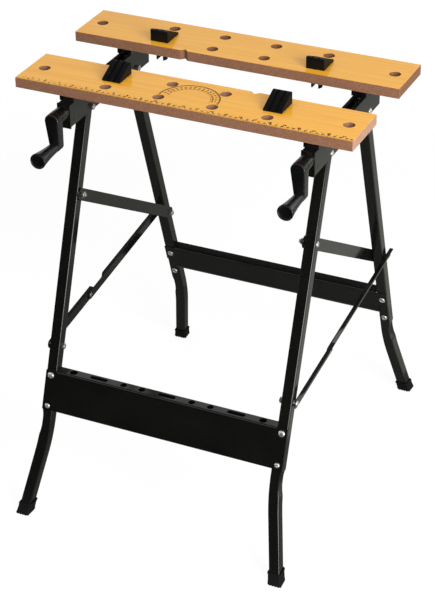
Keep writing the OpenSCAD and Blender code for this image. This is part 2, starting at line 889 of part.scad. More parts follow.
module rear_crossbar_screws() {
    color("silver") both() in_rear_leg() {
        panel_screw(bar_screws[0], upper_head_radius, sheet);
        panel_screw(bar_screws[1], upper_head_radius, 0);
    }
}

// Bolt along X: domed head outside, nut inside
module cross_bolt(inside, outside, tail) {
    translate([inside - nut_height - tail, 0, 0])
        along_x(bolt_radius, outside - inside + nut_height + tail + slip);
    translate([inside - nut_height, 0, 0]) rotate([0, 90, 0])
        cylinder(r = nut_radius, h = nut_height, $fn = hex_sides);
    translate([outside, 0, 0]) rotate([0, 90, 0])
        cylinder(r1 = bolt_head_radius, r2 = bolt_crown_radius, h = bolt_head_height);
}

module leg_pivot_bolts() {
    side = rail_outer / 2;
    color("silver") both() for (y = [front_pivot_y, rear_pivot_y]) {
        translate([rail_x, y, pivot_height]) cross_bolt(-side, side, short_thread);
    }
}

module link_bolts() {
    color("silver") both() in_front_leg() translate([0, 0, -link_front])
        cross_bolt(link_out - link_thick - gap, leg_face, long_thread);
}

module strut_bolts() {
    color("silver") both() in_front_leg() translate([0, 0, -strut_front])
        cross_bolt(leg_inside, front_strut_in + sheet + gap, short_thread);
}

// Bolt of the rear strut; its inner end stops at the leg face, where the link's own nut carries on
module shared_bolts() {
    outside = rear_strut_in + sheet + gap;
    color("silver") both() in_rear_leg() translate([0, 0, -link_rear]) {
        translate([leg_inside, 0, 0]) along_x(bolt_radius, outside - leg_inside + slip);
        translate([outside, 0, 0]) rotate([0, 90, 0])
            cylinder(r1 = bolt_head_radius, r2 = bolt_crown_radius, h = bolt_head_height);
    }
}

module spacer_ring(thick) {
    difference() {
        along_x(bolt_head_radius, thick);
        translate([-cut, 0, 0]) along_x(bolt_radius + running, thick + 2 * cut);
    }
}

module strut_spacers() {
    color("silver") both() in_front_leg() translate([leg_face, 0, -strut_front])
        spacer_ring(front_strut_in - leg_face - gap);
}

module shared_spacers() {
    color("silver") both() in_rear_leg() translate([leg_face, 0, -link_rear])
        spacer_ring(rear_strut_in - leg_face - gap);
}

// Flat bar with round ends from the front leg to the rear leg
module link_bar() {
    difference() {
        union() {
            translate([0, 0, -link_width / 2]) cube([link_thick, link_length, link_width]);
            along_x(link_width / 2, link_thick);
            translate([0, link_length, 0]) along_x(link_width / 2, link_thick);
        }
        translate([-cut, 0, 0]) along_x(bolt_radius + running, link_thick + 2 * cut);
        translate([-cut, link_length, 0]) along_x(bolt_radius + running, link_thick + 2 * cut);
    }
}

module right_link() {
    color("#242424") translate([link_out - link_thick, link_b[0], link_b[1]])
        rotate([link_tilt, 0, 0]) link_bar();
}

module left_link() {
    mirror([1, 0, 0]) right_link();
}

module right_link_nut() {
    color("silver") translate([link_out - link_thick, link_c[0], link_c[1]]) {
        translate([-nut_height - short_thread, 0, 0])
            along_x(bolt_radius, nut_height + short_thread + link_thick);
        translate([-nut_height, 0, 0]) rotate([0, 90, 0])
            cylinder(r = nut_radius, h = nut_height, $fn = hex_sides);
    }
}

module left_link_nut() {
    mirror([1, 0, 0]) right_link_nut();
}

module strut_web(from, to, width) {
    translate([0, from, -width / 2 - strut_drop]) cube([sheet, to - from, width]);
}

// Flange along the top of a strut, tapered at its lower end
module strut_edge(from, to, width) {
    translate([0, 0, width / 2 - strut_drop - sheet]) linear_extrude(sheet)
        polygon([[0, from], [sheet, from], [strut_flange, from + flange_taper], [strut_flange, to], [0, to]]);
}

// Angle half that hangs on the rear leg; its top flange tapers out short of the elbow
module right_rear_strut() {
    color("#242424") translate([rear_strut_in, link_c[0], link_c[1]])
        rotate([strut_tilt, 0, 0]) difference() {
        union() {
            strut_web(-rear_half, strut_tail, rear_strut_width);
            translate([0, -rear_half, -strut_drop]) along_x(rear_strut_width / 2, sheet);
            strut_edge(-rear_half + fold_clear, strut_tail, rear_strut_width);
        }
        translate([-cut, 0, 0]) along_x(bolt_radius + running, sheet + 2 * cut);
        translate([-cut, -rear_half, 0]) along_x(rivet_dia / 2 + running, sheet + 2 * cut);
    }
}

module left_rear_strut() {
    mirror([1, 0, 0]) right_rear_strut();
}

// Angle half that hangs on the front leg, round under the bolt, and laps over the other at the elbow
module right_front_strut() {
    color("#242424") translate([front_strut_in, strut_d[0], strut_d[1]])
        rotate([strut_tilt, 0, 0]) difference() {
        union() {
            strut_web(0, front_half + elbow_lap, front_strut_width);
            translate([0, 0, -strut_drop]) along_x(front_strut_width / 2, sheet);
            strut_edge(head_clear, front_half + elbow_lap, front_strut_width);
        }
        translate([-cut, 0, 0]) along_x(bolt_radius + running, sheet + 2 * cut);
        translate([-cut, front_half, 0]) along_x(rivet_dia / 2 + running, sheet + 2 * cut);
    }
}

module left_front_strut() {
    mirror([1, 0, 0]) right_front_strut();
}

module elbow_place(x) {
    translate([x, link_c[0], link_c[1]]) rotate([strut_tilt, 0, 0])
        translate([0, -rear_half, 0]) children();
}

// The elbow pivot is left open, so each half keeps its own end of the rivet
module right_rear_rivet() {
    color("silver") elbow_place(rear_strut_in) {
        translate([-flat_rivet_height, 0, 0]) along_x(elbow_rivet_radius, flat_rivet_height);
        translate([-slip, 0, 0]) along_x(rivet_dia / 2, sheet + slip);
    }
}

module left_rear_rivet() {
    mirror([1, 0, 0]) right_rear_rivet();
}

module right_front_rivet() {
    color("silver") elbow_place(front_strut_in) {
        along_x(rivet_dia / 2, sheet + slip);
        translate([sheet, 0, 0]) along_x(elbow_rivet_radius, elbow_rivet_height);
    }
}

module left_front_rivet() {
    mirror([1, 0, 0]) right_front_rivet();
}

front_jaw();
rear_jaw();
front_left_dog();
front_right_dog();
rear_left_dog();
rear_right_dog();
left_rail();
right_rail();
left_spacer();
right_spacer();
left_bracket();
right_bracket();
left_slider();
right_slider();
front_jaw_bolts();
rear_jaw_bolts();
bracket_rivets();
left_vice_screw();
right_vice_screw();
left_collar();
right_collar();
left_crank();
right_crank();
front_left_leg();
front_right_leg();
rear_left_leg();
rear_right_leg();
front_left_cap();
front_right_cap();
rear_left_cap();
rear_right_cap();
front_panel();
rear_crossbar();
front_panel_screws();
rear_crossbar_screws();
leg_pivot_bolts();
link_bolts();
shared_bolts();
shared_spacers();
strut_bolts();
strut_spacers();
left_link();
right_link();
left_link_nut();
right_link_nut();
left_rear_strut();
right_rear_strut();
left_front_strut();
right_front_strut();
left_rear_rivet();
right_rear_rivet();
left_front_rivet();
right_front_rivet();
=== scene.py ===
import json
import math

import bmesh
import bpy
import numpy as np
from mathutils import Matrix, Vector


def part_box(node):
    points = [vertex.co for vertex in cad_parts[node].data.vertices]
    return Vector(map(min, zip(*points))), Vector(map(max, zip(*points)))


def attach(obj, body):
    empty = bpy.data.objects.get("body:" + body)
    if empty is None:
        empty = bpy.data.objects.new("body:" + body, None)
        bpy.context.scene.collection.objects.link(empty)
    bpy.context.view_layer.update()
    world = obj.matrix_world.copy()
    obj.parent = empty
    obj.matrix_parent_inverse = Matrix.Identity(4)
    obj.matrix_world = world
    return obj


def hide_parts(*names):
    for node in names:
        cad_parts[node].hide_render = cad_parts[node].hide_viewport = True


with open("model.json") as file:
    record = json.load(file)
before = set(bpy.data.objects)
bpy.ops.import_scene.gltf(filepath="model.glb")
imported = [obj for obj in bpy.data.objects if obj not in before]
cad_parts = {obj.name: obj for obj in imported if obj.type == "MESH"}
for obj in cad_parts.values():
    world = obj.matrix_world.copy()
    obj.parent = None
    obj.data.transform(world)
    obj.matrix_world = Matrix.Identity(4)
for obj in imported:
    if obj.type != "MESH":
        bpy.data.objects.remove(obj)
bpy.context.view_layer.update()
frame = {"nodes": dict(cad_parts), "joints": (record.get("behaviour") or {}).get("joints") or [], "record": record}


# Leg tubes
# Four square steel tubes, press bent outwards above the foot, closed round at the top and powder coated.
# Each turns on a bolt between the cheeks of its rail, and the press has left a dent outside the bend.

MM = 0.001
SIDES = {"left": -1, "right": 1}
ENDS = ("front", "rear")
node_body = {node: body for body, nodes in frame["record"]["behaviour"]["bodies"].items() for node in nodes}
pivot = {joint["name"]: np.array(joint["pos_m"]) for joint in frame["joints"] if joint["type"] == "hinge"}
lower_pivot = {"front": pivot["left_link_swing"], "rear": pivot["left_rear_strut_swing"]}
rail_inside, rail_outside = (corner.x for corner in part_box("right_rail"))
rail_middle = (rail_inside + rail_outside) / 2
merge_distance = 0.003 * MM
tube_side = 20 * MM
tube_corner = 2.5 * MM
bend_start = 559 * MM
bend_radius = 427 * MM
foot_splay = math.radians(9.4)
bend_length = bend_radius * foot_splay
dent_depth = 9 * MM
dent_above = 20 * MM
dent_below = 31 * MM
dent_middle = bend_start + 8 * MM
dent_at_corners = 0.33
tube_end_height = 11 * MM
# most of a noise texture lies between these values
noise_low, noise_high = 0.3, 0.7


def linear(code):
    """Linear colour of an sRGB hex code: c / 12.92 when dark, else ((c + 0.055) / 1.055) to the power 2.4."""
    channel = np.array([int(code[at:at + 2], 16) for at in (1, 3, 5)]) / 255
    bright = ((channel + 0.055) / 1.055) ** 2.4
    return (*np.where(channel <= 0.04045, channel / 12.92, bright).tolist(), 1.0)


def add_node(tree, kind, inputs, **settings):
    """Adds one node: settings are its properties, inputs gives sockets a value or another node's output."""
    made = tree.nodes.new(kind)
    for name, value in settings.items():
        setattr(made, name, value)
    for socket, value in inputs.items():
        if isinstance(value, bpy.types.NodeSocket):
            tree.links.new(value, made.inputs[socket])
        else:
            made.inputs[socket].default_value = value
    return made


def start_material(name, constants):
    """A material with its Principled shader set to the constants, and the object coordinates for patterns."""
    material = bpy.data.materials.new(name)
    material.use_nodes = True
    tree = material.node_tree
    shader = tree.nodes["Principled BSDF"]
    for socket, value in constants.items():
        shader.inputs[socket].default_value = value
    coordinates = add_node(tree, "ShaderNodeTexCoord", {}).outputs["Object"]
    return material, tree, shader, coordinates


def join_shader(tree, shader, outputs):
    """Links each output to the shader's socket of that name."""
    for socket, output in outputs.items():
        tree.links.new(output, shader.inputs[socket])


def mottled_finish(name, constants, colours, roughness, patch, patch_detail, grain, grain_detail, depth,
                   strength):
    """A coat, plating or moulding: clouds of the patch size mix its two colours and set its roughness between
    two values, and a finer noise of the grain size is its relief, with that depth and strength."""
    material, tree, shader, place = start_material(name, constants)
    cloud = add_node(tree, "ShaderNodeTexNoise", {
        "Vector": place, "Scale": 1 / patch, "Detail": patch_detail})
    grit = add_node(tree, "ShaderNodeTexNoise", {
        "Vector": place, "Scale": 1 / grain, "Detail": grain_detail})
    tint = add_node(tree, "ShaderNodeMix", {
        0: cloud.outputs["Fac"], 6: linear(colours[0]), 7: linear(colours[1])}, data_type="RGBA")
    gloss = add_node(tree, "ShaderNodeMapRange", {
        "Value": cloud.outputs["Fac"], "From Min": noise_low, "From Max": noise_high,
        "To Min": roughness[0], "To Max": roughness[1]})
    relief = add_node(tree, "ShaderNodeBump", {
        "Height": grit.outputs["Fac"], "Strength": strength, "Distance": depth})
    join_shader(tree, shader, {"Base Color": tint.outputs[2], "Roughness": gloss.outputs["Result"],
                               "Normal": relief.outputs["Normal"]})
    return material


# Black powder coat on steel, baked to a glossy film: dark and clear reflections that a fine orange peel
# breaks up a little; real peel is 0.8 mm across and is drawn at twice that so that it shows.
powder_coat = mottled_finish(
    "black_powder_coat", {"IOR": 1.5}, colours=("#0A0A09", "#151513"), roughness=(0.1, 0.17),
    patch=70 * MM, patch_detail=5.0, grain=1.6 * MM, grain_detail=1.0, depth=0.04 * MM, strength=0.15)


def place_mesh(name, mesh, material, crease):
    """Closes a raw mesh (doubles merged, normals outwards), shades it smooth up to the crease angle and
    shows it."""
    shape = bmesh.new()
    shape.from_mesh(mesh)
    bmesh.ops.remove_doubles(shape, verts=shape.verts, dist=merge_distance)
    bmesh.ops.recalc_face_normals(shape, faces=shape.faces)
    shape.to_mesh(mesh)
    shape.free()
    mesh.polygons.foreach_set("use_smooth", np.ones(len(mesh.polygons), bool))
    mesh.set_sharp_from_angle(angle=math.radians(crease))
    mesh.materials.append(material)
    piece = bpy.data.objects.new(name, mesh)
    bpy.context.scene.collection.objects.link(piece)
    return piece


def stand_for(piece, node):
    """The piece takes the place of the node's solid, on its body."""
    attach(piece, node_body[node])
    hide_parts(node)


def lay_surface(node, name, grids, material, crease=38):
    """The node's piece from point grids of rows by columns: neighbours span quads, and the last column meets
    the first. A row that shrinks to a point or a line closes there."""
    points, faces, start = [], [], 0
    for grid in grids:
        rows, columns = grid.shape[:2]
        row, column = np.meshgrid(np.arange(rows - 1), np.arange(columns), indexing="ij")
        here = start + row * columns + column
        beside = start + row * columns + (column + 1) % columns
        faces.append(np.stack([here, beside, beside + columns, here + columns], -1).reshape(-1, 4))
        points.append(grid.reshape(-1, 3))
        start += rows * columns
    mesh = bpy.data.meshes.new(name)
    mesh.from_pydata(np.concatenate(points).tolist(), [], np.concatenate(faces).tolist())
    stand_for(place_mesh(name, mesh, material, crease), node)


def square_ring(side, corner, flat_steps=8, corner_steps=6):
    """Outline of a square with round corners: a flat, then a quarter circle, turned to each of four sides."""
    inner = side / 2 - corner
    turn = np.linspace(0, np.pi / 2, corner_steps, endpoint=False)
    along = np.linspace(-inner, inner, flat_steps, endpoint=False)
    flat = np.stack([np.full(flat_steps, side / 2), along], 1)
    arc = inner + corner * np.stack([np.cos(turn), np.sin(turn)], 1)
    quarter = np.concatenate([flat, arc])
    turns = ((1, 0), (0, 1), (-1, 0), (0, -1))
    return np.concatenate([quarter @ np.array([[c, s], [-s, c]]) for c, s in turns])


def leg_line(end, side):
    """Pivot, outward direction and downward direction of one leg, from the joints of the frame."""
    top = pivot[f"{end}_legs_fold"]
    along = (lower_pivot[end] - top) * (0, 1, 1)
    origin = np.array([SIDES[side] * rail_middle, top[1], top[2]])
    return origin, np.array([SIDES[side], 0.0, 0.0]), along / np.linalg.norm(along)


def bend_end(leg):
    """Where the bend of a leg ends: past the straight by the radius times the sine of the splay, and outwards
    by the radius times 1 - its cosine."""
    origin, outward, along = leg
    down = bend_start + bend_radius * math.sin(foot_splay)
    return origin + along * down + outward * bend_radius * (1 - math.cos(foot_splay))


def down_the_leg(distance, ring, leg):
    """Carries rings of (outward, across) offsets down the leg: its line is straight, then an arc of the bend
    radius towards outward, then straight again, and each ring stays square to it."""
    origin, outward, along = leg
    turn = np.clip((distance - bend_start) / bend_radius, 0, foot_splay)
    past = np.clip(distance - bend_start - bend_length, 0, None)
    down = np.minimum(distance, bend_start) + bend_radius * np.sin(turn) + past * math.cos(foot_splay)
    out = bend_radius * (1 - np.cos(turn)) + past * math.sin(foot_splay)
    middle = origin + down[:, None] * along + out[:, None] * outward
    facing = np.cos(turn)[:, None] * outward - np.sin(turn)[:, None] * along
    across = np.cross(along, outward)
    return middle[:, None, :] + ring[..., :1] * facing[:, None, :] + ring[..., 1:] * across


def leg_tube(leg, dome_rows=10, upper_rows=14, dent_rows=60):
    """Rings of the tube: rounded over the pivot, where half the width is the half side times the sine of the
    angle round the pivot, dented at the bend by the square of 1 - s cubed along it, longer below, and by a
    cosine across, and shut inside the foot cap."""
    half = tube_side / 2
    along = leg[2]
    drop = tube_end_height - bend_end(leg)[2]
    foot = bend_start + bend_length + drop / (along[2] * math.cos(foot_splay))
    dome = np.linspace(0, np.pi / 2, dome_rows)
    distance = np.concatenate([
        -half * np.cos(dome), np.linspace(0, dent_middle - dent_above, upper_rows)[1:],
        np.linspace(dent_middle - dent_above, bend_start + bend_length, dent_rows)[1:], [foot, foot]])
    ring = np.repeat(square_ring(tube_side, tube_corner)[None], len(distance), axis=0)
    ring[:dome_rows, :, 1] *= np.sin(dome)[:, None]
    ring[-1] = 0
    into = (distance - dent_middle) / np.where(distance < dent_middle, dent_above, dent_below)
    sink = (1 - np.clip(np.abs(into), 0, 1)[:, None] ** 3) ** 2
    over = dent_at_corners + (1 - dent_at_corners) * np.cos(ring[..., 1] / half * np.pi / 2)
    ring[..., 0] -= dent_depth * sink * np.clip(ring[..., 0] / half, 0, 1) ** 4 * over
    return down_the_leg(distance, ring, leg)


legs = {(end, side): leg_line(end, side) for end in ENDS for side in SIDES}
for (end, side), leg in legs.items():
    node = f"{end}_{side}_leg"
    lay_surface(node, f"{node}_tube", [leg_tube(leg)], powder_coat)


# Foot caps
# Moulded black rubber socks pressed over the tube ends, cut level with the floor.
# A bead runs round the mouth, the sole flares a little and has soft tread ridges from front to back.

cap_half = 12.5 * MM
cap_corner = 3.2 * MM
cap_crease = 60
tread_pitch = 5 * MM
tread_depth = 1.5 * MM
# mouth against the tube, bead, waist, flared sole: half side and height above the floor, in millimetres
cap_profile = np.array([
    (9.6, 17.5), (10.1, 19.6), (10.6, 20.6), (11.4, 21.0), (12.1, 20.7), (12.5, 19.9), (12.5, 19.0),
    (12.2, 18.0), (11.9, 17.2), (11.8, 14.0), (11.9, 9.0), (12.1, 5.0), (12.4, 3.4), (12.5, 2.6)]) * MM
# the underside runs in to its middle; the tread starts on the last two rows of the profile
sole = cap_half * np.array([0.985, 0.96, 0.8, 0.6, 0.4, 0.2, 0.0])
tread_start = [0.3, 0.6]

# Filled rubber straight from the mould: dull deep black, faintly mottled with bloom, its fine pitting drawn
# coarser than it is so that it shows.
rubber = mottled_finish(
    "moulded_rubber", {"IOR": 1.52, "Specular IOR Level": 0.2}, colours=("#070708", "#101011"),
    roughness=(0.62, 0.78), patch=6 * MM, patch_detail=6.0, grain=0.9 * MM, grain_detail=2.0,
    depth=0.12 * MM, strength=0.4)


def foot_cap(leg):
    """Rings of the cap: a round-cornered square of the profile's half side, slid along the foot until it lies
    level at the profile's height, then the sole, whose height is a cosine ripple across the foot."""
    outward, along = leg[1:]
    foot_way = along * math.cos(foot_splay) + outward * math.sin(foot_splay)
    facing = outward * math.cos(foot_splay) - along * math.sin(foot_splay)
    across = np.cross(along, outward)
    half = np.concatenate([cap_profile[:, 0], sole])
    height = np.concatenate([cap_profile[:, 1], np.zeros(len(sole))])
    outline = square_ring(2 * cap_half, cap_corner, flat_steps=24)
    ring = outline[None] * (half / cap_half)[:, None, None]
    slanted = bend_end(leg) + ring[..., :1] * facing + ring[..., 1:] * across
    slide = (height[:, None] - slanted[..., 2]) / foot_way[2]
    point = slanted + slide[..., None] * foot_way
    ripple = (1 + np.cos(2 * np.pi * ring[..., 0] / tread_pitch)) / 2
    tread = np.concatenate([np.zeros(len(cap_profile) - len(tread_start)), tread_start, np.ones(len(sole))])
    point[..., 2] += tread_depth * tread[:, None] * ripple
    return point


for (end, side), leg in legs.items():
    lay_surface(f"{end}_{side}_cap", f"{end}_{side}_foot_cap", [foot_cap(leg)], rubber,
                cap_crease)


# Front panel and rear crossbar
# Folded steel sheet, 1.5 mm thick, pierced and powder coated in the same black as the legs.
# The panel's upper edge folds back level into a tool shelf; the crossbar has a top flange, and below it a lip
# that slants to the front.

sheet_thick = 1.5 * MM
sheet_edge = 0.4 * MM
flat_limit = math.radians(0.3)


def solid_piece(node, name, material, soft_edge, crease=30):
    """The node's own solid as a piece: triangles with doubles merged, flat areas joined to single faces, and
    each edge sharper than the crease rounded over by the soft edge."""
    source = frame["nodes"][node].data
    point = np.empty(len(source.vertices) * 3)
    source.vertices.foreach_get("co", point)
    corner = np.empty(len(source.loops), int)
    source.loops.foreach_get("vertex_index", corner)
    mesh = bpy.data.meshes.new(name)
    mesh.from_pydata(point.reshape(-1, 3).tolist(), [], corner.reshape(-1, 3).tolist())
    shape = bmesh.new()
    shape.from_mesh(mesh)
    bmesh.ops.remove_doubles(shape, verts=shape.verts, dist=merge_distance)
    bmesh.ops.dissolve_limit(shape, angle_limit=flat_limit, verts=shape.verts, edges=shape.edges)
    shape.to_mesh(mesh)
    shape.free()
    piece = place_mesh(name, mesh, material, crease)
    rounding = piece.modifiers.new("soft_edge", "BEVEL")
    rounding.width = soft_edge
    rounding.segments = 2
    rounding.limit_method = "ANGLE"
    rounding.angle_limit = math.radians(crease)
    rounding.harden_normals = True
    stand_for(piece, node)


for node in ("front_panel", "rear_crossbar"):
    solid_piece(node, f"{node}_sheet", powder_coat, sheet_edge)


# Panel and crossbar screws
# Bright zinc-plated screws with a domed head and a cross recess, driven through the sheet into the leg tubes.
# Two hold each end of the panel, and two more stand in each rear leg, the lower one below the crossbar.

upper_head = 6.2 * MM
lower_head = 5.0 * MM
head_height = 3.0 * MM
shank_radius = 2.4 * MM
shank_length = 16 * MM
shank_sink = 0.2 * MM
panel_top = 474 * MM
panel_height = 72.5 * MM
bar_top = 459 * MM
upper_panel_screw = panel_top + 8.6 * MM
lower_panel_screw = panel_top + panel_height - 7.5 * MM
upper_bar_screw = bar_top + 18 * MM
lower_bar_screw = bar_top + 69.5 * MM
# the cross recess, as shares of the head's radius, and its depth as a share of the head's height
slot_reach, slot_half, slot_slope, slot_depth = 0.5, 0.1, 0.08, 0.4
# a shank from its start to its blunt point, as shares of its length and radius
shank_profile = np.array([(0.0, 0.0), (0.0, 1.0), (-0.8, 1.0), (-1.0, 0.4), (-1.0, 0.0)])

# Bright zinc plate on steel: a cool pale metal, satin from the barrel, a little patchy in its passivation;
# its fine scuffs are drawn coarser than they are so that they show.
zinc = mottled_finish(
    "bright_zinc_plate", {"Metallic": 1.0}, colours=("#CFD0D1", "#F0F0EC"), roughness=(0.3, 0.45),
    patch=3 * MM, patch_detail=5.0, grain=0.7 * MM, grain_detail=2.0, depth=0.03 * MM, strength=0.2)


def turned(height, radius, origin, axis, columns=48):
    """Surface about an axis through origin that isn't upright: at every column angle, the height along it and
    the radius from it. Heights and radii are rows, or rows by columns where the shape isn't round."""
    columns = radius.shape[1] if radius.ndim > 1 else columns
    axis = axis / np.linalg.norm(axis)
    side = np.cross(axis, (0.0, 0.0, 1.0))
    side = side / np.linalg.norm(side)
    angle = np.linspace(0, 2 * np.pi, columns, endpoint=False)
    spoke = np.cos(angle)[:, None] * side + np.sin(angle)[:, None] * np.cross(axis, side)
    height = np.reshape(height, (len(radius), -1, 1))
    radius = np.reshape(radius, (len(radius), -1, 1))
    return origin + height * axis + radius * spoke


def cross_head(radius, rise, origin, axis, turn, rows=30, columns=96):
    """A domed head: the height at share q of the radius is rise times the root of 1 - q squared, less a
    cross of two slots that sinks smoothly to its floor; the rim drops straight to the seat."""
    share = np.concatenate([np.sin(np.linspace(0, np.pi / 2, rows)), [1.0, 0.0]])[:, None]
    angle = np.linspace(0, 2 * np.pi, columns, endpoint=False) + turn
    x, y = np.abs(share * np.cos(angle)), np.abs(share * np.sin(angle))
    level_slot = np.maximum(x - slot_reach, y - slot_half)
    upright_slot = np.maximum(y - slot_reach, x - slot_half)
    step = np.clip(0.5 - np.minimum(level_slot, upright_slot) / slot_slope, 0, 1)
    height = rise * (np.sqrt(1 - share ** 2) - slot_depth * step * step * (3 - 2 * step))
    height[-2:] = 0
    return turned(height, radius * share * np.ones_like(x), origin, axis)


def screw(radius, origin, axis, turn):
    """A domed head and its shank, which tapers to a blunt point."""
    along, across = shank_profile.T
    shank = turned(along * shank_length + shank_sink, across * shank_radius, origin, axis)
    return [cross_head(radius, head_height, origin, axis, turn), shank]


def leg_screws(end, places):
    """Screws in both legs of an end: distance down the leg, head radius and packing under the head. The
    distance also turns each recess, so that no two look alike."""
    grids = []
    for side in SIDES:
        origin, outward, along = legs[end, side]
        across = np.cross(along, outward)
        front = -across * np.sign(across[1])
        for distance, radius, packing in places:
            seat = origin + along * distance + front * (tube_side / 2 + packing)
            grids += screw(radius, seat, front, distance / MM + SIDES[side])
    return grids


panel_places = [(upper_panel_screw, upper_head, sheet_thick), (lower_panel_screw, lower_head, sheet_thick)]
bar_places = [(upper_bar_screw, upper_head, sheet_thick), (lower_bar_screw, upper_head, 0.0)]
for node, end, places in (("front_panel_screws", "front", panel_places),
                          ("rear_crossbar_screws", "rear", bar_places)):
    lay_surface(node, f"{node}_zinc", leg_screws(end, places), zinc)


# Links and folding struts
# Flat bar links between the front and rear legs, and two-piece struts of folded angle with a riveted elbow.
# All are pressed steel in the black coat; the rivets and the washers under the struts are zinc plated.

bar_edge = 0.6 * MM
washer_edge = 0.3 * MM
for side in SIDES:
    for node in (f"{side}_link", f"{side}_rear_strut", f"{side}_front_strut"):
        solid_piece(node, f"{node}_bar", powder_coat, bar_edge)
    for node in (f"{side}_rear_rivet", f"{side}_front_rivet"):
        solid_piece(node, f"{node}_head", zinc, bar_edge)
for node in ("shared_spacers", "strut_spacers"):
    solid_piece(node, f"{node}_washers", zinc, washer_edge)


# Pivot bolts
# Zinc-plated machine bolts at every pivot of legs, links and struts: a low domed head with a cross recess
# outside, a chamfered hexagon nut inside and a few turns of thread past it.

bolt_radius = 3 * MM
bolt_head_radius = 5.2 * MM
bolt_head_rise = 3 * MM
bolt_sink = 0.5 * MM
shared_bolt_sink = 0.4 * MM
nut_flats = 10 * MM
nut_height = 5 * MM
nut_chamfer = math.radians(30)
thread_pitch = 1 * MM
thread_depth = 0.5 * MM
short_thread = 2 * MM
long_thread = 4 * MM
link_thick = 3 * MM
seat_gap = 0.3 * MM
# a triangle wave, times the slope, less the offset and cut at 0 and 1, leaves crest and root of a thread flat
flank_slope, crest_offset = 2.4, 0.7


def threaded(length, radius, depth, pitch, origin, axis, steps_per_turn=8, columns=24):
    """A thread: at height h and angle a the radius drops by the depth times a trapezoid wave of
    h / pitch - a / full turn, and both ends run in to the axis."""
    rows = int(length / pitch * steps_per_turn) + 2
    height = np.linspace(0, length, rows)[:, None]
    angle = np.linspace(0, 1, columns, endpoint=False)
    phase = (height / pitch - angle) % 1
    wave = np.clip(flank_slope * np.abs(2 * phase - 1) - crest_offset, 0, 1)
    skin = radius - depth * wave
    skin[[0, -1]] = radius - depth
    height = np.concatenate([height[:1], height, height[-1:]])
    skin = np.concatenate([np.zeros((1, columns)), skin, np.zeros((1, columns))])
    return turned(height * np.ones_like(skin), skin, origin, axis)


def hexagon(flats, thick, origin, axis, columns=72):
    """A nut: the radius at an angle is half the flats over the cosine of the angle from the nearest flat, and
    both faces are chamfered from the inscribed circle."""
    angle = np.linspace(0, 2 * np.pi, columns, endpoint=False)
    inner = flats / 2 * np.ones_like(angle)
    outer = inner / np.cos((angle + np.pi / 6) % (np.pi / 3) - np.pi / 6)
    drop = (outer - inner) * math.tan(nut_chamfer)
    zero = np.zeros_like(angle)
    radius = np.stack([zero, inner, outer, outer, inner, zero])
    height = np.stack([zero, zero, drop, thick - drop, thick + zero, thick + zero])
    return turned(height, radius, origin, axis)


def pivot_bolt(side, inside, outside, centre, tail, turn):
    """Head seated at the outside distance, nut at the inside one, and the thread on past the nut."""
    out = np.array([SIDES[side], 0.0, 0.0])
    across = centre * (0, 1, 1)
    head = cross_head(bolt_head_radius, bolt_head_rise, across + out * outside, out, turn)
    nut = hexagon(nut_flats, nut_height, across + out * inside, -out)
    start = across + out * (outside + bolt_sink)
    rod = threaded(outside - inside + nut_height + tail, bolt_radius, thread_depth, thread_pitch, start, -out)
    return [head, nut, rod]


leg_inside, leg_outside = rail_middle - tube_side / 2, rail_middle + tube_side / 2
link_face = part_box("right_link")[0].x
strut_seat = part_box("right_front_strut")[0].x + sheet_thick + seat_gap
turn_step = 0.7
bolt_sets = {
    "leg_pivot_bolts": [(pivot[f"{end}_legs_fold"], rail_inside, rail_outside, short_thread) for end in ENDS],
    "link_bolts": [(pivot["left_link_swing"], link_face - seat_gap, leg_outside, long_thread)],
    "strut_bolts": [(pivot["left_front_strut_swing"], leg_inside, strut_seat, short_thread)]}
for node, bolts in bolt_sets.items():
    grids = []
    for side in SIDES:
        for number, (centre, inside, outside, tail) in enumerate(bolts):
            grids += pivot_bolt(side, inside, outside, centre, tail, turn_step * number + SIDES[side])
    lay_surface(node, f"{node}_zinc", grids, zinc)

# the bolt that link and strut share on each rear leg: its head is on the strut side, its nut on the link
shared_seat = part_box("right_rear_strut")[0].x + sheet_thick + seat_gap
shared = pivot["left_rear_strut_swing"] * (0, 1, 1)
grids = []
for side in SIDES:
    out = np.array([SIDES[side], 0.0, 0.0])
    grids.append(cross_head(bolt_head_radius, bolt_head_rise, shared + out * shared_seat, out, SIDES[side]))
    rod_length = shared_seat - leg_inside + shared_bolt_sink
    grids.append(threaded(rod_length, bolt_radius, thread_depth, thread_pitch,
                          shared + out * (shared_seat + shared_bolt_sink), -out))
    nut = [hexagon(nut_flats, nut_height, shared + out * link_face, -out),
           threaded(nut_height + short_thread + link_thick, bolt_radius, thread_depth, thread_pitch,
                    shared + out * (link_face + link_thick), -out)]
    lay_surface(f"{side}_link_nut", f"{side}_link_nut_zinc", nut, zinc)
lay_surface("shared_bolts", "shared_bolts_zinc", grids, zinc)


# Rails and end brackets
# Folded steel channels, open below, that carry the boards and take the tops of the legs between their cheeks.
# A thick plate closes the front of each and bears the vice screw; a rivet through each cheek holds it.

rail_edge = 0.3 * MM
plate_edge = 0.7 * MM
rivet_edge = 0.5 * MM
for side in SIDES:
    solid_piece(f"{side}_rail", f"{side}_rail_channel", powder_coat, rail_edge)
    solid_piece(f"{side}_bracket", f"{side}_bracket_plate", powder_coat, plate_edge)
solid_piece("bracket_rivets", "bracket_rivet_heads", powder_coat, rivet_edge)


# Vice screws and thrust collars
# Long trapezoid-thread screws of zinc-plated steel, one in each rail, turned by the cranks.
# They bear in the end plates, held by a collar, and draw the rear jaw's nuts along the rails.

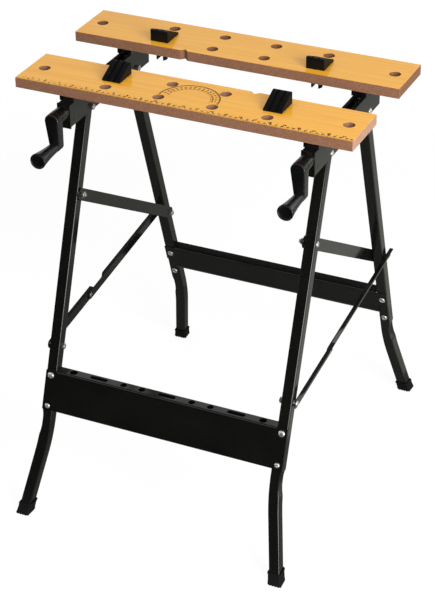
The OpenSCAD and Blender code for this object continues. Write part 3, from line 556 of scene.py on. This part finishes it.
screw_radius = 4.85 * MM
screw_pitch = 4 * MM
screw_depth = 1.1 * MM
collar_edge = 0.6 * MM
rearward = np.array([0.0, 1.0, 0.0])
for side in SIDES:
    low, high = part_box(f"{side}_vice_screw")
    centre = np.array([(low.x + high.x) / 2, low.y, (low.z + high.z) / 2])
    rod = threaded(high.y - low.y, screw_radius, screw_depth, screw_pitch, centre, rearward,
                   steps_per_turn=10, columns=32)
    lay_surface(f"{side}_vice_screw", f"{side}_vice_screw_thread", [rod], zinc)
    solid_piece(f"{side}_collar", f"{side}_collar_ring", zinc, collar_edge)


# Cranks
# One-piece cranks moulded in black nylon: a coned hub on the screw, a flat tapered arm and a flared grip.
# All edges are rounded for the mould, and the grip's end is dished inside a narrow rim.

hub_length = 19 * MM
arm_top = 13 * MM
arm_end = 9.5 * MM
arm_thick = 18 * MM
arm_round = 2.6 * MM
crank_throw = 46.5 * MM
crank_hang = math.radians(4)
# hub from its back to the arm, and grip from the arm to its dished end: height and radius, in millimetres
hub_profile = np.array([(0, 0), (0, 11.4), (0.5, 12.2), (1.4, 12.5), (9.5, 12.5), (14, 12.7), (18.5, 12.9),
                        (19.5, 12.9), (19.5, 0)]) * MM
grip_profile = np.array([
    (-1, 0), (-1, 9.0), (8, 9.2), (16, 9.6), (24, 10.2), (32, 10.9), (40, 11.8), (48, 12.8), (53, 13.6),
    (55.5, 14.0), (56.6, 13.9), (57.4, 13.5), (57.8, 12.9), (57.8, 12.2), (57.4, 11.5), (56.6, 11.1),
    (55.6, 10.8), (55.2, 10.0), (55.1, 0)]) * MM

# Glass-filled nylon from a spark-eroded mould: satin black, its 0.2 mm stipple drawn coarser so that it
# shows.
nylon = mottled_finish(
    "moulded_nylon", {"IOR": 1.53}, colours=("#060607", "#0F0F10"), roughness=(0.24, 0.32),
    patch=25 * MM, patch_detail=4.0, grain=0.9 * MM, grain_detail=2.0, depth=0.06 * MM, strength=0.3)


def crank_arm(end_steps=40, edge_steps=7):
    """A tapered bar with round ends, hanging from the origin: its outline keeps a radius about the spine,
    larger at the screw than at the grip; the rows go from the front face over quarter-circle edges to the
    back."""
    lean = math.asin((arm_top - arm_end) / crank_throw)
    angle = np.concatenate([np.linspace(-lean, np.pi + lean, end_steps),
                            np.linspace(np.pi + lean, 2 * np.pi - lean, end_steps)])
    end = np.repeat([0.0, 1.0], end_steps)
    edge = np.linspace(0, np.pi / 2, edge_steps)
    depth = np.concatenate([[0], arm_round * (1 - np.cos(edge)),
                            arm_thick - arm_round * (1 - np.cos(edge[::-1])), [arm_thick]])
    inward = np.concatenate([[arm_top], arm_round * (1 - np.sin(edge)),
                             arm_round * (1 - np.sin(edge[::-1])), [arm_top]])
    radius = np.clip(arm_top + (arm_end - arm_top) * end - inward[:, None], 0, None)
    x = radius * np.cos(angle)
    z = radius * np.sin(angle) - crank_throw * end
    return np.stack([x, depth[:, None] * np.ones_like(x), z], -1)


tilt = np.array([[math.cos(crank_hang), 0, math.sin(crank_hang)], [0, 1, 0],
                 [-math.sin(crank_hang), 0, math.cos(crank_hang)]])
for side in SIDES:
    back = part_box(f"{side}_crank")[1].y
    centre = pivot[f"{side}_crank_turn"] * (1, 0, 1)
    arm_front = np.array([0, back - hub_length - arm_thick, 0])
    hub = turned(*hub_profile.T, np.array([0, back, 0]), -rearward)
    grip = turned(*grip_profile.T, arm_front - (0, 0, crank_throw), -rearward)
    grids = [grid @ tilt + centre for grid in (hub, crank_arm() + arm_front, grip)]
    lay_surface(f"{side}_crank", f"{side}_crank_moulding", grids, nylon)


# Blocks and jaw bolts
# Moulded nylon blocks carry the boards on the rails; the rear pair slides and holds the nuts of the screws.
# Zinc-plated bolts pass up through the blocks into each board, at the front through the rails as well.

block_edge = 0.7 * MM
jaw_bolt_edge = 0.4 * MM
for side in SIDES:
    for node in (f"{side}_spacer", f"{side}_slider"):
        solid_piece(node, f"{node}_block", nylon, block_edge)
for node in ("front_jaw_bolts", "rear_jaw_bolts"):
    solid_piece(node, f"{node}_zinc", zinc, jaw_bolt_edge)


# Jaw boards
# Two fibreboard planks with a printed bamboo-like laminate on top, sawn, drilled for dogs and notched.
# The sawn edges and the walls of the holes show the bare brown fibreboard; bolts hold them from below.

board_low, board_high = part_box("front_jaw")
board_middle, board_half = (board_low + board_high) / 2, (board_high - board_low) / 2
board_edge = 0.5 * MM
edge_strip = 2 * MM
# share of the painted light that the front board's hole walls get
hole_painted_light = 0.35
laminate_thick = 0.3 * MM
grain_length = 170 * MM
grain_width = 3.2 * MM
streak_low, streak_high = 0.32, 0.68
tint_size = 90 * MM
fibre_size = 0.9 * MM
sawn_roughness, print_roughness = 0.9, 0.2
sawn_fuzz, print_fuzz = 0.5, 0.04
fuzz_depth = 0.15 * MM

# Melamine print over fibreboard: a warm tan with faint streaks along the board, under a smooth gloss that
# mirrors the dogs, and the brown felted look of pressed wood fibre, matt and speckled, wherever a saw or
# drill has cut. The sawn ends of the front board, and less its hole walls, are painted paler: painted light,
# as if lit from the right. The fibres are drawn coarser than they are so that they show.
fibreboard, tree, shader, place = start_material(
    "laminated_fibreboard", {"IOR": 1.5, "Specular IOR Level": 0.38})
stretch = add_node(tree, "ShaderNodeMapping", {
    "Vector": place, "Scale": (1 / grain_length, 1 / grain_width, 1 / grain_width)})
streak = add_node(tree, "ShaderNodeTexNoise", {
    "Vector": stretch.outputs["Vector"], "Scale": 1.0, "Detail": 5.0})
tint = add_node(tree, "ShaderNodeTexNoise", {"Vector": place, "Scale": 1 / tint_size, "Detail": 2.0})
fibre = add_node(tree, "ShaderNodeTexNoise", {"Vector": place, "Scale": 1 / fibre_size, "Detail": 4.0})
grain = add_node(tree, "ShaderNodeMapRange", {
    "Value": streak.outputs["Fac"], "From Min": streak_low, "From Max": streak_high})
print_tan = add_node(tree, "ShaderNodeMix", {
    0: grain.outputs["Result"], 6: linear("#E39914"), 7: linear("#FCBC44")}, data_type="RGBA")
warm = add_node(tree, "ShaderNodeMix", {
    0: tint.outputs["Fac"], 6: print_tan.outputs[2], 7: linear("#F3AF2E")}, data_type="RGBA")
speck = add_node(tree, "ShaderNodeMapRange", {
    "Value": fibre.outputs["Fac"], "From Min": noise_low, "From Max": noise_high})
pressed = add_node(tree, "ShaderNodeMix", {
    0: speck.outputs["Result"], 6: linear("#68422D"), 7: linear("#A1755A")}, data_type="RGBA")
# painted light: the paler fibre colour laid on the front board's sawn ends and hole walls
painted_lit_fibre = add_node(tree, "ShaderNodeMix", {
    0: speck.outputs["Result"], 6: linear("#936A54"), 7: linear("#CFA78F")}, data_type="RGBA")
# painted light on the front board's sawn ends, and on its holes as what lies inside the edges and faces of the
# board
spot = add_node(tree, "ShaderNodeSeparateXYZ", {"Vector": place})
reach = add_node(tree, "ShaderNodeMath", {0: spot.outputs["X"]}, operation="ABSOLUTE")
end_cut = add_node(tree, "ShaderNodeMath", {
    0: reach.outputs[0], 1: board_high.x - board_edge / 2}, operation="GREATER_THAN")
front_board = add_node(tree, "ShaderNodeMath", {
    0: spot.outputs["Y"], 1: board_high.y}, operation="LESS_THAN")
painted_lit_end = add_node(tree, "ShaderNodeMath", {
    0: end_cut.outputs[0], 1: front_board.outputs[0]}, operation="MULTIPLY")
inside_edges = add_node(tree, "ShaderNodeMath", {
    0: spot.outputs["Y"], 1: board_middle.y, 2: board_half.y - edge_strip}, operation="COMPARE")
inside_faces = add_node(tree, "ShaderNodeMath", {
    0: spot.outputs["Z"], 1: board_middle.z, 2: board_half.z - board_edge}, operation="COMPARE")
hole_wall = add_node(tree, "ShaderNodeMath", {
    0: inside_edges.outputs[0], 1: inside_faces.outputs[0]}, operation="MULTIPLY")
# how much painted light a point gets: all of it on the front board's sawn ends, a share on its hole walls
painted_light = add_node(tree, "ShaderNodeMath", {
    0: hole_wall.outputs[0], 1: hole_painted_light, 2: painted_lit_end.outputs[0]}, operation="MULTIPLY_ADD")
sawn = add_node(tree, "ShaderNodeMix", {
    0: painted_light.outputs[0], 6: pressed.outputs[2], 7: painted_lit_fibre.outputs[2]}, data_type="RGBA")
face = add_node(tree, "ShaderNodeMath", {
    0: spot.outputs["Z"], 1: board_high.z - laminate_thick}, operation="GREATER_THAN")
surface = add_node(tree, "ShaderNodeMix", {
    0: face.outputs[0], 6: sawn.outputs[2], 7: warm.outputs[2]}, data_type="RGBA")
matt = add_node(tree, "ShaderNodeMapRange", {
    "Value": face.outputs[0], "To Min": sawn_roughness, "To Max": print_roughness})
fuzz = add_node(tree, "ShaderNodeMapRange", {
    "Value": face.outputs[0], "To Min": sawn_fuzz, "To Max": print_fuzz})
felt = add_node(tree, "ShaderNodeBump", {
    "Height": fibre.outputs["Fac"], "Strength": fuzz.outputs["Result"], "Distance": fuzz_depth})
join_shader(tree, shader, {"Base Color": surface.outputs[2], "Roughness": matt.outputs["Result"],
                           "Normal": felt.outputs["Normal"]})
for node in ("front_jaw", "rear_jaw"):
    solid_piece(node, f"{node}_board", fibreboard, board_edge)


# Ruler and protractor print
# Dark ink screened on the front board: a ruler along the front edge, ticked every millimetre, numbered in
# centimetres and behind them in inches, and a half-circle protractor in the middle of the board.

ink_thick = 0.05 * MM
ink_level = board_high.z + 0.01 * MM
wear_size = 4 * MM
bold_share = 0.05
front_edge = board_low.y
ruler_length = 600
ruler_start = -ruler_length / 2 * MM
CENTIMETRE = 10 * MM
INCH = 25.4 * MM
centimetre_digits = 4.8 * MM
centimetre_row = front_edge + 5.5 * MM
last_number = board_high.x - 4 * MM
inch_digits = 6.4 * MM
inch_row = front_edge + 9.9 * MM
half_inch_tick = 3.0 * MM
half_inch_width = 0.6 * MM
tick_row = front_edge + 0.6 * MM
# length and width of the ticks at every so many millimetres
ticks = {10: (3.0 * MM, 0.7 * MM), 5: (3.0 * MM, 0.6 * MM), 1: (1.6 * MM, 0.25 * MM)}
protractor_middle = np.array([0, front_edge + 38.1 * MM])
arc_outer = 53.6 * MM
arc_inner = 37 * MM
# radius and width of the lines, and radius of the two rows of numbers, which run opposite ways
arc_lines = ((arc_outer - 0.7 * MM, 1.15 * MM), (arc_inner, 0.5 * MM))
arc_digits = 3.8 * MM
arc_rows = (arc_outer - 8 * MM, arc_inner + 3.4 * MM)
# length of the marks at every so many degrees, the coarser ones last
degree_marks = {1: 2.2 * MM, 5: 3.6 * MM, 10: 5.0 * MM}
degree_width = 0.35 * MM
degree_radius = arc_outer - 1 * MM

# Screen ink: a thin, flat brown-black that lets a little of the board through where it is worn.
ink, tree, shader, place = start_material("screen_ink", {
    "Roughness": 0.55, "IOR": 1.5, "Specular IOR Level": 0.06})
wear = add_node(tree, "ShaderNodeTexNoise", {"Vector": place, "Scale": 1 / wear_size, "Detail": 4.0})
black = add_node(tree, "ShaderNodeMix", {
    0: wear.outputs["Fac"], 6: linear("#1C1003"), 7: linear("#3C2607")}, data_type="RGBA")
join_shader(tree, shader, {"Base Color": black.outputs[2]})

ink_points, ink_faces = [], []


def print_ink(points, faces):
    """Adds flat points (x, y) and their faces to the print."""
    start = sum(len(group) for group in ink_points)
    ink_points.append(np.column_stack([points, np.full(len(points), ink_level)]))
    ink_faces.extend((np.asarray(faces) + start).tolist())


def print_bars(x, y, turn, length, width):
    """Prints bars: each starts at its point, runs its length in the direction of its angle, and has the
    width."""
    x, y, turn, length = np.broadcast_arrays(x, y, turn, length)
    ahead = np.stack([np.cos(turn), np.sin(turn)], 1)
    aside = np.stack([-np.sin(turn), np.cos(turn)], 1) * width / 2
    foot = np.stack([x, y], 1)
    tip = foot + ahead * length[:, None]
    corner = np.stack([foot - aside, tip - aside, tip + aside, foot + aside], 1).reshape(-1, 2)
    print_ink(corner, np.arange(len(corner)).reshape(-1, 4))


def print_number(number, size, x, y, turn=0.0):
    """Prints a number in the plain built-in letters, centred on a point and turned by an angle."""
    letters = bpy.data.curves.new("digits", "FONT")
    letters.body = str(number)
    letters.size = size
    letters.offset = bold_share * size
    letters.align_x = "CENTER"
    letters.align_y = "CENTER"
    holder = bpy.data.objects.new("digits", letters)
    flat = holder.to_mesh()
    flat.calc_loop_triangles()
    point = np.empty(len(flat.vertices) * 3)
    flat.vertices.foreach_get("co", point)
    corner = np.empty(len(flat.loop_triangles) * 3, int)
    flat.loop_triangles.foreach_get("vertices", corner)
    c, s = math.cos(turn), math.sin(turn)
    print_ink(point.reshape(-1, 3)[:, :2] @ np.array([[c, s], [-s, c]]) + (x, y), corner.reshape(-1, 3))
    holder.to_mesh_clear()
    bpy.data.objects.remove(holder)
    bpy.data.curves.remove(letters)


def print_arc(radius, width, steps=97):
    """Prints a half-circle line of that radius and width about the protractor's middle."""
    angle = np.linspace(0, np.pi, steps)
    ring = np.stack([np.cos(angle), np.sin(angle)], 1)
    band = np.concatenate([ring * (radius - width / 2), ring * (radius + width / 2)])
    at = np.arange(steps - 1)
    print_ink(band + protractor_middle, np.stack([at, at + steps, at + steps + 1, at + 1], 1))


free = np.arange(ruler_length + 1)
for every, (length, width) in ticks.items():
    at = free[free % every == 0]
    free = free[free % every != 0]
    print_bars(ruler_start + at * MM, tick_row, np.pi / 2, length, width)
for number in range(1, ruler_length // 10 + 1):
    x = min(ruler_start + number * CENTIMETRE, last_number)
    print_number(number, centimetre_digits, x, centimetre_row)
inches = np.arange(1, int(ruler_length * MM / INCH) + 1)
for number in inches:
    print_number(number, inch_digits, ruler_start + number * INCH, inch_row)
print_bars(ruler_start + (inches - 0.5) * INCH, inch_row - half_inch_tick / 2, np.pi / 2,
           half_inch_tick, half_inch_width)

for radius, width in arc_lines:
    print_arc(radius, width)
degree = np.arange(181)
mark = np.zeros(len(degree))
for every, length in degree_marks.items():
    mark[degree % every == 0] = length
turn = np.radians(degree)
print_bars(np.cos(turn) * degree_radius, np.sin(turn) * degree_radius + protractor_middle[1], turn + np.pi,
           mark, degree_width)
for angle in range(10, 180, 10):
    turn = math.radians(angle)
    for number, radius in zip((angle, 180 - angle), arc_rows):
        x, y = protractor_middle + (radius * math.cos(turn), radius * math.sin(turn))
        print_number(number, arc_digits, x, y, turn - math.pi / 2)

mesh = bpy.data.meshes.new("measure_print")
mesh.from_pydata(np.concatenate(ink_points).tolist(), [], ink_faces)
mesh.materials.append(ink)
measure_print = bpy.data.objects.new("measure_print", mesh)
bpy.context.scene.collection.objects.link(measure_print)
film = measure_print.modifiers.new("ink_film", "SOLIDIFY")
film.thickness = ink_thick
film.offset = 1.0
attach(measure_print, node_body["front_jaw"])


# Bench dogs
# Wedge-shaped stops moulded in black polypropylene, with two grooves down the slope and a split peg.
# They plug into the holes of the boards and turn to face the work.

dog_edge = 0.8 * MM

# Black polypropylene from a blasted mould: matt, so it takes hardly any colour from the board beside it; the
# fine blasting is drawn coarser than it is so that it shows.
polypropylene = mottled_finish(
    "moulded_polypropylene", {"IOR": 1.49, "Specular IOR Level": 0.2}, colours=("#050506", "#0D0D0E"),
    roughness=(0.5, 0.62), patch=15 * MM, patch_detail=4.0, grain=0.9 * MM, grain_detail=2.0,
    depth=0.06 * MM, strength=0.3)
for end in ENDS:
    for side in SIDES:
        node = f"{end}_{side}_dog"
        solid_piece(node, f"{node}_stop", polypropylene, dog_edge)


# Camera
# The photograph's viewpoint: in front, to the right and above, with a long lens.
# Place, turn, dip, roll and lens were solved from the corners of the boards and from the feet.

camera_place = Vector((1.22367, -2.65817, 2.08892))
camera_turn = 0.43502
camera_dip = 0.54254
camera_roll = -0.010132
# the photograph's height and the focal length, in its pixels
image_height = 600
focal_length = 1887.21
sensor = 36.0

ahead = Vector((-math.sin(camera_turn) * math.cos(camera_dip),
                math.cos(camera_turn) * math.cos(camera_dip), -math.sin(camera_dip)))
right = ahead.cross(Vector((0, 0, 1))).normalized()
up = right.cross(ahead)
rolled_right = right * math.cos(camera_roll) + up * math.sin(camera_roll)
rolled_up = up * math.cos(camera_roll) - right * math.sin(camera_roll)
lens = bpy.data.cameras.new("camera")
lens.sensor_fit = "AUTO"
lens.sensor_width = sensor
lens.lens = focal_length / image_height * sensor
camera = bpy.data.objects.new("camera", lens)
camera.matrix_world = Matrix.Translation(camera_place) @ Matrix(
    (rolled_right, rolled_up, -ahead)).transposed().to_4x4()
bpy.context.scene.collection.objects.link(camera)
bpy.context.scene.camera = camera


# Floor, surroundings and lamps
# A white studio floor and surroundings that the camera, metal and gloss see as white, but for a faint shadow.
# One soft lamp hangs above and one stands to the front right; a low one shows only in gloss and metal. So do
# black and grey cards in front, above and on the floor, which give the black coat dark things to mirror. The
# grey cards under, behind and left of the bench are darker: a painted shadow of the bench, seen only in gloss.

floor_half = 14.0
floor_level = -0.2 * MM
floor_glow = 0.92
far_glow = 1.0
pool_radius = 3.0
pool_inside = 0.6
ambient = 0.22
card_level = 2 * MM
roof_level = 3.4


def level_corners(x0, x1, y0, y1, z):
    """The corners of a level rectangle, counted round."""
    return [(x0, y0, z), (x1, y0, z), (x1, y1, z), (x0, y1, z)]


def flat_card(name, corners, material):
    """A four-cornered card for the stage."""
    mesh = bpy.data.meshes.new(name)
    mesh.from_pydata(corners, [], [(0, 1, 2, 3)])
    mesh.materials.append(material)
    card = bpy.data.objects.new(name, mesh)
    bpy.context.scene.collection.objects.link(card)
    return card


def seen_directly(tree):
    """One where the camera, a reflection or a view through glass looks straight at the surface."""
    path = add_node(tree, "ShaderNodeLightPath", {})
    first = add_node(tree, "ShaderNodeMath", {
        0: path.outputs["Is Camera Ray"], 1: path.outputs["Is Glossy Ray"]}, operation="MAXIMUM")
    return add_node(tree, "ShaderNodeMath", {
        0: first.outputs[0], 1: path.outputs["Is Transmission Ray"]}, operation="MAXIMUM").outputs[0]


# White floor paint: seen directly it glows white, a little less in a pool round the bench, so that its grey
# share, which takes the lamps, can show the bench's shadow there.
floor_paint, tree, shader, place = start_material("studio_floor", {})
paint = add_node(tree, "ShaderNodeBsdfDiffuse", {"Color": linear("#F4F4F4")})
shade = add_node(tree, "ShaderNodeBsdfDiffuse", {"Color": linear("#616161")})
pool = add_node(tree, "ShaderNodeMapping", {"Vector": place, "Scale": (1 / pool_radius,) * 3})
near = add_node(tree, "ShaderNodeTexGradient", {"Vector": pool.outputs["Vector"]}, gradient_type="SPHERICAL")
glow = add_node(tree, "ShaderNodeMapRange", {
    "Value": near.outputs["Fac"], "From Max": pool_inside, "To Min": far_glow, "To Max": floor_glow})
white = add_node(tree, "ShaderNodeEmission", {"Color": linear("#FFFFFF"), "Strength": glow.outputs["Result"]})
bright = add_node(tree, "ShaderNodeAddShader", {0: white.outputs[0], 1: shade.outputs[0]})
blend = add_node(tree, "ShaderNodeMixShader", {
    0: seen_directly(tree), 1: paint.outputs[0], 2: bright.outputs[0]})
tree.links.new(blend.outputs[0], tree.nodes["Material Output"].inputs["Surface"])
tree.nodes.remove(shader)
flat_card("floor", level_corners(-floor_half, floor_half, -floor_half, floor_half, floor_level), floor_paint)

black_cloth = "#050505"
# tone of the painted shadow: the floor cards under and behind the bench
shaded_card = "#7C7C76"
flags = {
    "front_flag": (black_cloth, [(-7, -4.6, 0), (2, -4.6, 0), (2, -4.6, 2.0), (-7, -4.6, 2.0)]),
    "front_floor_flag": (black_cloth, level_corners(-7, 2, -4.6, -0.6, card_level)),
    "roof_flag": (black_cloth, level_corners(-5, 1.7, -1.8, 1.3, roof_level)),
    "roof_card": ("#A8A8A8", level_corners(-5, 1.7, 1.3, 3.8, roof_level)),
    "right_sweep": ("#CBCBC2", level_corners(-7, 7, -0.6, 7, card_level / 2)),
    # the cards left of, behind and under the bench are darker than the right one: painted shadow of the bench
    "left_painted_shadow": ("#A2A29B", level_corners(-7, 0.34, 0.5, 7, card_level)),
    "under_painted_shadow": (shaded_card, [(-7, -0.6, card_level), (2, -0.6, card_level),
                                  (0.3, 0.1, card_level), (-7, 0.1, card_level)]),
    "back_painted_shadow": (shaded_card, level_corners(-7, 0.3, 0.1, 0.5, card_level))}
for name, (tone, corners) in flags.items():
    cloth = start_material(f"{name}_cloth", {"Base Color": linear(tone), "Roughness": 1.0})[0]
    flag = flat_card(name, corners, cloth)
    flag.visible_camera = False
    flag.visible_diffuse = False
    flag.visible_shadow = False

world = bpy.data.worlds.new("studio")
bpy.context.scene.world = world
world.use_nodes = True
tree = world.node_tree
tree.nodes.clear()
air = add_node(tree, "ShaderNodeBackground", {"Color": linear("#FFFFFF"), "Strength": ambient})
backdrop = add_node(tree, "ShaderNodeBackground", {"Color": linear("#FFFFFF"), "Strength": 1.0})
blend = add_node(tree, "ShaderNodeMixShader", {
    0: seen_directly(tree), 1: air.outputs[0], 2: backdrop.outputs[0]})
add_node(tree, "ShaderNodeOutputWorld", {"Surface": blend.outputs[0]})


def softbox(name, place, aim, width, height, power, mirrored):
    """A rectangular soft lamp at a place, turned to shine at the aim. It lights the object and isn't seen in
    it, or it is mirrored: then gloss and metal show it, and it gives no other light."""
    lamp = bpy.data.lights.new(name, "AREA")
    lamp.shape = "RECTANGLE"
    lamp.size = width
    lamp.size_y = height
    lamp.energy = power
    holder = bpy.data.objects.new(name, lamp)
    turn = (Vector(aim) - Vector(place)).to_track_quat("-Z", "Y")
    holder.matrix_world = Matrix.Translation(place) @ turn.to_matrix().to_4x4()
    holder.visible_camera = False
    holder.visible_glossy = mirrored
    holder.visible_diffuse = not mirrored
    bpy.context.scene.collection.objects.link(holder)


softbox("top_softbox", place=(-0.3, -0.5, 3.0), aim=(0, 0, 0.6), width=2.2, height=2.2, power=27,
        mirrored=False)
softbox("right_softbox", place=(2.0, -1.4, 1.6), aim=(0, 0, 0.6), width=1.4, height=1.4, power=76,
        mirrored=False)
softbox("low_softbox", place=(1.9, -1.6, 0.4), aim=(0, 0, 0.4), width=1.5, height=0.68, power=26,
        mirrored=True)
bpy.context.scene.view_settings.view_transform = "Standard"
